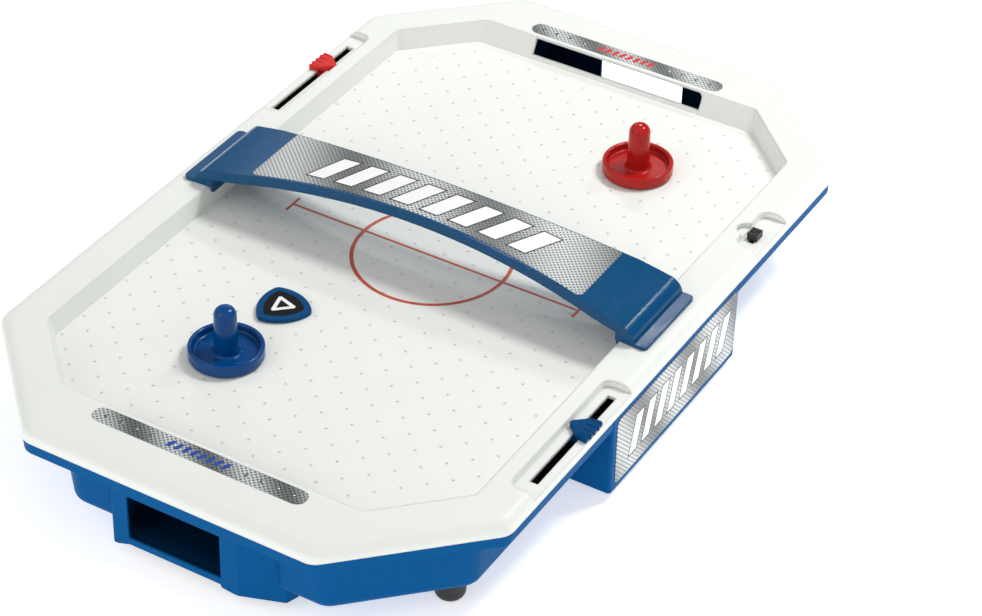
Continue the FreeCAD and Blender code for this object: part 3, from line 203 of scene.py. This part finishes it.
class Shader:
    """One material's node tree."""

    def __init__(self, name):
        self.material = bpy.data.materials.new(name)
        self.material.use_nodes = True
        tree = self.material.node_tree
        self.nodes, self.links = tree.nodes, tree.links
        self.surface = self.nodes["Principled BSDF"]
        coordinates = self.nodes.new("ShaderNodeTexCoord")
        self.place = coordinates.outputs["Object"]

    def axes(self):
        split = self.nodes.new("ShaderNodeSeparateXYZ")
        self.links.new(self.place, split.inputs[0])
        return tuple(Field(self, socket) for socket in split.outputs)

    def noise(self, scale, detail=3.0, stretch=(1.0, 1.0, 1.0)):
        mapping = self.nodes.new("ShaderNodeMapping")
        mapping.inputs["Scale"].default_value = stretch
        self.links.new(self.place, mapping.inputs["Vector"])
        node = self.nodes.new("ShaderNodeTexNoise")
        node.inputs["Scale"].default_value = scale
        node.inputs["Detail"].default_value = detail
        self.links.new(mapping.outputs[0], node.inputs["Vector"])
        return Field(self, node.outputs["Fac"])

    def spread(self, field, low, high):
        """The field's middle half of values stretched over low to high."""
        node = self.nodes.new("ShaderNodeMapRange")
        self.links.new(field.socket, node.inputs["Value"])
        node.inputs["From Min"].default_value = 0.25
        node.inputs["From Max"].default_value = 0.75
        node.inputs["To Min"].default_value = low
        node.inputs["To Max"].default_value = high
        return Field(self, node.outputs["Result"])

    def mix(self, amount, first, second):
        """A colour between the two; each is a colour or another mix's socket."""
        node = self.nodes.new("ShaderNodeMix")
        node.data_type = "RGBA"
        self.links.new(amount.socket, node.inputs["Factor"])
        for slot, value in ((node.inputs[6], first), (node.inputs[7], second)):
            if isinstance(value, tuple):
                slot.default_value = value
            else:
                self.links.new(value, slot)
        return node.outputs[2]

    def base(self):
        """The socket that colours the surface so far."""
        return self.surface.inputs["Base Color"].links[0].from_socket

    def colour(self, socket):
        self.links.new(socket, self.surface.inputs["Base Color"])

    def roughness(self, field):
        self.links.new(field.socket, self.surface.inputs["Roughness"])

    def relief(self, field, height, edge=0.0):
        """Bumps of this height, over edges rounded by a radius where one is given."""
        bump = self.nodes.new("ShaderNodeBump")
        bump.inputs["Strength"].default_value = 1.0
        bump.inputs["Distance"].default_value = height
        self.links.new(field.socket, bump.inputs["Height"])
        if edge:
            bevel = self.nodes.new("ShaderNodeBevel")
            bevel.samples = 4
            bevel.inputs["Radius"].default_value = edge
            self.links.new(bevel.outputs[0], bump.inputs["Normal"])
        self.links.new(bump.outputs[0], self.surface.inputs["Normal"])

    def set(self, **values):
        for name, value in values.items():
            self.surface.inputs[name.replace("_", " ")].default_value = value


# ---- materials ----
def plastic(name, colour, roughness=0.35, mottle=0.03, grain=0.02, edge=0.5 * MM, gloss=0.5):
    """Moulded plastic: faint flow marks in the colour, handling marks in the gloss, a fine mould grain."""
    shader = Shader(name)
    marks = shader.spread(shader.noise(22.0, 4.0), 0, 1)
    shader.colour(shader.mix(marks, scaled(colour, 1 - mottle), scaled(colour, 1 + mottle)))
    rubbed = shader.noise(70.0, 5.0, (1.0, 0.35, 1.0))
    shader.roughness(shader.spread(rubbed, roughness - 0.06, roughness + 0.06))
    shader.set(Specular_IOR_Level=gloss)
    shader.relief(shader.noise(1400.0, 2.0), grain * MM, edge)
    return shader


def goal_box_shell(name, end):
    """The goal box's blue, darker inside, where little light gets in; end is -1 in front, 1 behind."""
    shader = plastic(name, SHELL_BLUE, roughness=0.45, gloss=0.04)
    x, y, z = shader.axes()
    across, along = x * -end, y * end
    soft = POCKET_SOFT
    inside = (across * WING_SLOPE + along).under(WING_FACE, soft)
    inside = inside.least((across * SLANT_SLOPE + along).under(SLANT_FACE, soft))
    inside = inside.least(along.under(OUTER_FACE, soft))
    inside = inside.least(across.over(NARROW_SIDE, soft).most(z.over(WIDE_ABOVE_Z, soft)))
    inside = inside.least(across.over(WIDE_SIDE, soft)).least(along.over(INNER_FACE, soft))
    inside = inside.least(z.over(POCKET_FLOOR_Z, soft))
    shader.colour(shader.mix(inside, shader.base(), scaled(SHELL_BLUE, POCKET_SHADE)))
    return shader


def printed_panel():
    """The playing surface with its printed circle and centre line, and a grey ring of painted shade in the
    dimple round each air hole.
    """
    shader = plastic(
        "printed_panel", PANEL_WHITE, roughness=0.34, mottle=0.01, grain=0.01, edge=0.0, gloss=0.3)
    x, y, _ = shader.axes()
    soft = 0.15 * MM
    circle = ((x * x + y * y).root() - CIRCLE_R).size().under(CIRCLE_LINE / 2, soft)
    line = y.size().under(CENTRE_LINE / 2, soft).least(x.size().under(CENTRE_LINE_HALF, soft))
    bars = (x.size() - CENTRE_LINE_HALF).size().under(CENTRE_LINE / 2, soft)
    bars = bars.least(y.size().under(END_BAR_HALF, soft))
    printed = circle.most(line).most(bars) * shader.spread(shader.noise(500.0, 3.0), 0.86, 1.0)
    column, row = x / HOLE_PITCH, y / HOLE_PITCH
    across, along = (column.part() - 0.5) * HOLE_PITCH, (row.part() - 0.5) * HOLE_PITCH
    dimple = (across * across + along * along).root().under(DIMPLE_R, DIMPLE_SOFT)
    every_other = ((column.floor() + row.floor()) / 2.0).part().under(0.25, 0.01)
    dimple = dimple.least(every_other)
    dimple = dimple.least(x.size().under(HOLES_HALF_X, MM)).least(y.size().under(HOLES_HALF_Y, MM))
    dimple = dimple.least((x.size() + y.size()).under(HOLES_CORNER, MM))
    # painted shade: each air hole's dimple is greyed as if shaded
    hole_shaded = shader.mix(dimple * DIMPLE_TONE, shader.base(), HOLE_SHADE_GREY)
    shader.colour(shader.mix(printed, hole_shaded, LINE_RED))
    shader.relief(dimple * -1.0, 0.12 * MM)
    return shader


def metallic_label(name, along, across, length, offset, slant, graphic):
    """A sticker printed as perforated metal, with slanted light and dark bands of painted reflection, and a
    graphic over that.
    """
    shader = Shader(name)
    fields = shader.axes()
    u, v = fields["xyz".index(along)], fields["xyz".index(across)]
    a = ((u + v) / DOT_PITCH).part() - 0.5
    b = ((u - v) / DOT_PITCH).part() - 0.5
    dots = (a * a + b * b).root().under(DOT_R, DOT_SOFT)
    # painted reflection: slanted light and dark bands, standing in for a metal sheet's sheen
    bands = ((u + v * slant) / length * math.tau + offset).sine() * 0.5 + 0.5
    sheet = shader.mix(bands, LABEL_SHEEN_DARK, LABEL_SHEEN_LIGHT)
    sheet = shader.mix(dots * 0.92, sheet, LABEL_DOT)
    shader.colour(graphic(shader, u, v, sheet))
    shader.set(Metallic=0.25)
    shader.roughness(shader.spread(shader.noise(90.0, 4.0), 0.28, 0.4))
    shader.relief(dots * -1.0, 0.03 * MM)
    return shader


def slanted_bars(middle, half_length, half_height, pitch, width, slant, fill, outline=None):
    """A generic row of slanted bars for a label's middle."""
    def graphic(shader, u, v, under):
        height = v - middle
        row = (u + height * slant) / pitch
        inside = (row.part() - 0.5).size() * pitch
        ends = (u + height * slant).size()

        def bars(grow):
            body = inside.under(width / 2 + grow, PRINT_SOFT)
            body = body.least(height.size().under(half_height + grow, PRINT_SOFT))
            return body.least(ends.under(half_length + grow, PRINT_SOFT))

        if outline:
            under = shader.mix(bars(BAR_OUTLINE), under, outline)
        return shader.mix(bars(0.0), under, fill)
    return graphic


def goal_bars(middle, fill):
    return slanted_bars(middle, 25 * MM, 3.4 * MM, pitch=6.25 * MM, width=3.4 * MM, slant=-0.3, fill=fill)


def label_looks():
    side_low, side_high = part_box("side_label")
    side_middle = 0.5 * (side_low.z + side_high.z)
    front_low, front_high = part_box("front_goal_label")
    front_middle = 0.5 * (front_low.y + front_high.y)
    bridge_bars = slanted_bars(
        -0.5 * MM, 96 * MM, 14.5 * MM, pitch=24 * MM, width=14 * MM, slant=-0.45, fill=BAR_WHITE,
        outline=BAR_EDGE)
    side_bars = slanted_bars(
        side_middle, 74 * MM, 15 * MM, pitch=18.5 * MM, width=10 * MM, slant=-0.3, fill=BAR_WHITE,
        outline=BAR_EDGE)
    blue_bars, red_bars = goal_bars(front_middle, BAR_BLUE), goal_bars(-front_middle, BAR_RED)
    return {
        "bridge_label": metallic_label("bridge_label", "x", "y", 118 * MM, 2.1, 0.5, bridge_bars),
        "side_label": metallic_label("side_label", "y", "z", 70 * MM, 0.6, 0.6, side_bars),
        "front_goal_label": metallic_label("front_goal_label", "x", "y", 60 * MM, 2.6, 1.0, blue_bars),
        "rear_goal_label": metallic_label("rear_goal_label", "x", "y", 60 * MM, 2.6, 1.0, red_bars),
    }


def puck_middle():
    """The puck's middle, as its faces' mean place weighted by their areas."""
    total = Vector()
    area = 0.0
    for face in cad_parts["puck"].data.polygons:
        total += face.center * face.area
        area += face.area
    return total / area


def puck_print():
    """The puck's black sticker with a white triangle's outline."""
    shader = Shader("puck_print")
    x, y, _ = shader.axes()
    middle = puck_middle()
    x, y = x - middle.x, y - middle.y
    reach = None
    for k in range(3):
        turn = math.radians(PUCK_TURN + 180 + 120 * k)
        side = x * math.cos(turn) + y * math.sin(turn)
        reach = side if reach is None else reach.most(side)
    blunt = (x * x + y * y).root().under(TRIANGLE_BLUNT_R, TRIANGLE_BLUNT_SOFT)
    white = reach.under(TRIANGLE_OUTER, PRINT_SOFT).least(blunt) - reach.under(TRIANGLE_INNER, PRINT_SOFT)
    shader.colour(shader.mix(white, PUCK_BLACK, PUCK_WHITE))
    shader.set(Specular_IOR_Level=0.12)
    shader.roughness(shader.spread(shader.noise(120.0, 3.0), 0.3, 0.42))
    shader.relief(shader.noise(900.0, 2.0), 0.01 * MM)
    return shader


def felt():
    shader = Shader("felt")
    fibres = shader.noise(2600.0, 6.0, (1.0, 1.0, 3.0))
    shader.colour(shader.mix(shader.spread(fibres, 0, 1), FELT_DARK, FELT_LIGHT))
    shader.set(Roughness=0.95, Sheen_Weight=0.4)
    shader.relief(fibres, 0.25 * MM)
    return shader


def metal(name, tone, roughness):
    """Bare metal with brush marks."""
    shader = Shader(name)
    brushed = shader.noise(500.0, 4.0, (1.0, 8.0, 1.0))
    shader.colour(shader.mix(shader.spread(brushed, 0, 1), scaled(tone, 0.85), scaled(tone, 1.1)))
    shader.set(Metallic=1.0)
    shader.roughness(shader.spread(brushed, roughness - 0.08, roughness + 0.1))
    shader.relief(brushed, 0.02 * MM, 0.2 * MM)
    return shader


def cell_jacket():
    """The batteries' printed jackets: dark, with copper over the part at low x."""
    shader = Shader("cell_jacket")
    x, _, _ = shader.axes()
    low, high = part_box("batteries")
    band = x.under(low.x + (high.x - low.x) * 0.27, 0.2 * MM)
    wear = shader.spread(shader.noise(160.0, 4.0), 0.9, 1.0)
    shader.colour(shader.mix(band * wear, CELL_DARK, CELL_COPPER))
    shader.set(Metallic=0.5)
    shader.roughness(shader.spread(shader.noise(80.0, 3.0), 0.25, 0.4))
    shader.relief(shader.noise(700.0, 2.0), 0.01 * MM, 0.3 * MM)
    return shader


def materials():
    """Every node's material."""
    shell = plastic("blue_shell", SHELL_BLUE, roughness=0.45, gloss=0.04)
    bridge = plastic("blue_bridge", BRIDGE_BLUE, roughness=0.24, edge=1.5 * MM, gloss=0.25)
    deck = plastic("white_deck", DECK_WHITE, roughness=0.4, mottle=0.012, edge=3.0 * MM, gloss=0.3)
    black = plastic("black_plastic", BLACK_PLASTIC, roughness=0.4, mottle=0.1)
    # partly painted shade: the glossless near-black tracks stand for the shade in the score slots
    track = plastic("track_black_and_shade", TRACK_BLACK_AND_SHADE, roughness=0.6, mottle=0.1, gloss=0.0)
    grey = plastic("grey_plastic", GREY_PLASTIC, roughness=0.5)
    zinc = metal("zinc_steel", ZINC, 0.3)
    nickel = metal("nickel", NICKEL, 0.22)
    blue_marker = plastic("blue_marker", BLUE_MARKER, roughness=0.35, gloss=0.05)
    red_marker = plastic("red_marker", RED_MARKER, roughness=0.35, gloss=0.15)
    pad = felt()
    looks = {
        "rim_frame": deck,
        "playing_panel": printed_panel(),
        "bridge": bridge,
        "front_goal_box": goal_box_shell("front_goal_shell", -1),
        "rear_goal_box": goal_box_shell("rear_goal_shell", 1),
        "blue_striker": plastic("blue_striker", BLUE_STRIKER, roughness=0.16, edge=0.6 * MM, gloss=0.25),
        "red_striker": plastic("red_striker", RED_STRIKER, roughness=0.16, edge=0.6 * MM, gloss=0.25),
        "puck": plastic("puck_plastic", PUCK_BLUE, roughness=0.35, edge=0.0, gloss=0.1),
        "puck_label": puck_print(),
        "score_tracks": track,
        "feet": plastic("foot_rubber", RUBBER_BLACK, roughness=0.5, mottle=0.15, grain=0.05, edge=0.0),
        "batteries": cell_jacket(),
        "motor": metal("motor_can", CAN_STEEL, 0.34),
        "red_lead": plastic("red_insulation", RED_WIRE, roughness=0.4, edge=0.0),
        "black_lead": plastic("black_insulation", BLACK_WIRE, roughness=0.4, edge=0.0),
    }
    looks.update(label_looks())
    shared = (
        (shell, ("base_tub", "base_flange", "blower_housing", "blower_base_plate", "battery_door")),
        (black, ("battery_tray", "impeller", "switch_body", "switch_knob")),
        (grey, ("fan_volute", "motor_clamp")),
        (zinc, ("case_screws", "goal_box_screws", "blower_screws", "motor_screws", "foot_screws")),
        (zinc, ("motor_shaft",)),
        (nickel, ("battery_contacts", "contact_springs")),
        (blue_marker, ("blue_score_slider", "blue_score_clip")),
        (red_marker, ("red_score_slider", "red_score_clip")),
        (pad, ("blue_striker_pad", "red_striker_pad")),
    )
    for look, names in shared:
        looks.update({name: look for name in names})
    return looks


def dress():
    looks = materials()
    for name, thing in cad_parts.items():
        thing.data.materials.clear()
        thing.data.materials.append(looks[name].material)


# ---- small trim ----
def lathe(name, profile, places, material, segments=20):
    """One mesh of the same turned shape at several places, from (radius, height) points."""
    mesh = bpy.data.meshes.new(name)
    shape = bmesh.new()
    for place in places:
        rings = []
        for radius, height in profile:
            if radius == 0:
                rings.append([shape.verts.new(place + Vector((0, 0, height)))])
                continue
            ring = []
            for k in range(segments):
                turn = math.tau * k / segments
                offset = Vector((radius * math.cos(turn), radius * math.sin(turn), height))
                ring.append(shape.verts.new(place + offset))
            rings.append(ring)
        for low, high in zip(rings, rings[1:]):
            for k in range(segments):
                after = (k + 1) % segments
                if len(high) == 1:
                    shape.faces.new((low[k], low[after], high[0]))
                else:
                    shape.faces.new((low[k], low[after], high[after], high[k]))
        shape.faces.new(list(reversed(rings[0])))
    for face in shape.faces:
        face.smooth = len(face.verts) < 5
    shape.to_mesh(mesh)
    shape.free()
    thing = bpy.data.objects.new(name, mesh)
    bpy.context.scene.collection.objects.link(thing)
    mesh.materials.append(material)
    return thing


def label_rivets():
    """The raised round marks near both ends of each goal label."""
    finish = metal("rivet_metal", RIVET_METAL, 0.3)
    for name in ("front_goal_label", "rear_goal_label"):
        low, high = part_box(name)
        middle_y = 0.5 * (low.y + high.y)
        places = []
        for side in (-1, 1):
            for k in range(RIVETS_EACH_END):
                places.append(Vector((side * (RIVET_FIRST_X + RIVET_STEP * k), middle_y, high.z)))
        rivets = lathe(name + "_rivets", RIVET_PROFILE, places, finish.material)
        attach(rivets, "table")


# ---- floor, light, camera ----
def floor():
    bpy.ops.mesh.primitive_plane_add(size=FLOOR_SIZE, location=(0, 0, 0))
    plane = bpy.context.object
    plane.name = "floor"
    shader = Shader("pale_floor")
    tone = shader.spread(shader.noise(3.0, 2.0), 0, 1)
    shader.colour(shader.mix(tone, FLOOR_DARK, FLOOR_LIGHT))
    shader.set(Roughness=0.8, Specular_IOR_Level=0.0)
    shader.set(Emission_Color=(1.0, 1.0, 1.0, 1.0), Emission_Strength=FLOOR_GLOW)
    plane.data.materials.append(shader.material)


def sky():
    """A soft room, brighter on the blue end's side."""
    world = bpy.data.worlds.new("studio")
    world.use_nodes = True
    nodes, links = world.node_tree.nodes, world.node_tree.links
    background = nodes["Background"]
    background.inputs["Color"].default_value = SKY_TINT
    direction = nodes.new("ShaderNodeTexCoord")
    split = nodes.new("ShaderNodeSeparateXYZ")
    brightness = nodes.new("ShaderNodeMapRange")
    links.new(direction.outputs["Generated"], split.inputs[0])
    links.new(split.outputs["Y"], brightness.inputs["Value"])
    brightness.inputs["From Min"].default_value = SKY_NEAR_Y
    brightness.inputs["From Max"].default_value = SKY_FAR_Y
    brightness.inputs["To Min"].default_value = SKY_NEAR
    brightness.inputs["To Max"].default_value = SKY_FAR
    links.new(brightness.outputs["Result"], background.inputs["Strength"])
    bpy.context.scene.world = world


def lights():
    for name, place, aim, power, size in LIGHTS:
        light = bpy.data.lights.new(name, "AREA")
        light.energy = power
        light.shape = "DISK"
        light.size = size
        thing = bpy.data.objects.new(name, light)
        thing.location = place
        thing.rotation_euler = (Vector(aim) - Vector(place)).to_track_quat("-Z", "Y").to_euler()
        bpy.context.scene.collection.objects.link(thing)


def camera():
    azimuth, elevation = math.radians(CAMERA_AZIMUTH), math.radians(CAMERA_ELEVATION)
    level = math.cos(elevation)
    towards = Vector((math.sin(azimuth) * level, -math.cos(azimuth) * level, math.sin(elevation)))
    lens = bpy.data.cameras.new("camera")
    lens.lens = CAMERA_LENS
    lens.sensor_width = 36.0
    lens.clip_end = 50.0
    thing = bpy.data.objects.new("camera", lens)
    thing.location = CAMERA_AIM + towards * CAMERA_DISTANCE
    upright = (-towards).to_track_quat("-Z", "Y")
    thing.rotation_euler = (upright @ Quaternion((0, 0, 1), math.radians(CAMERA_ROLL))).to_euler()
    bpy.context.scene.collection.objects.link(thing)
    bpy.context.scene.camera = thing


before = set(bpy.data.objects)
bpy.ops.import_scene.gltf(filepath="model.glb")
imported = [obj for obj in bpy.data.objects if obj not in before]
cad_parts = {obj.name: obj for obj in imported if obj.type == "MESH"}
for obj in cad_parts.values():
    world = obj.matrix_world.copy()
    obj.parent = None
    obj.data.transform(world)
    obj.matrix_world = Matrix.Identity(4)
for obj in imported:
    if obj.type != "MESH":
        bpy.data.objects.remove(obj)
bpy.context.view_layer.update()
bpy.context.scene.view_settings.view_transform = "Standard"
dress()
label_rivets()
floor()
sky()
lights()
camera()
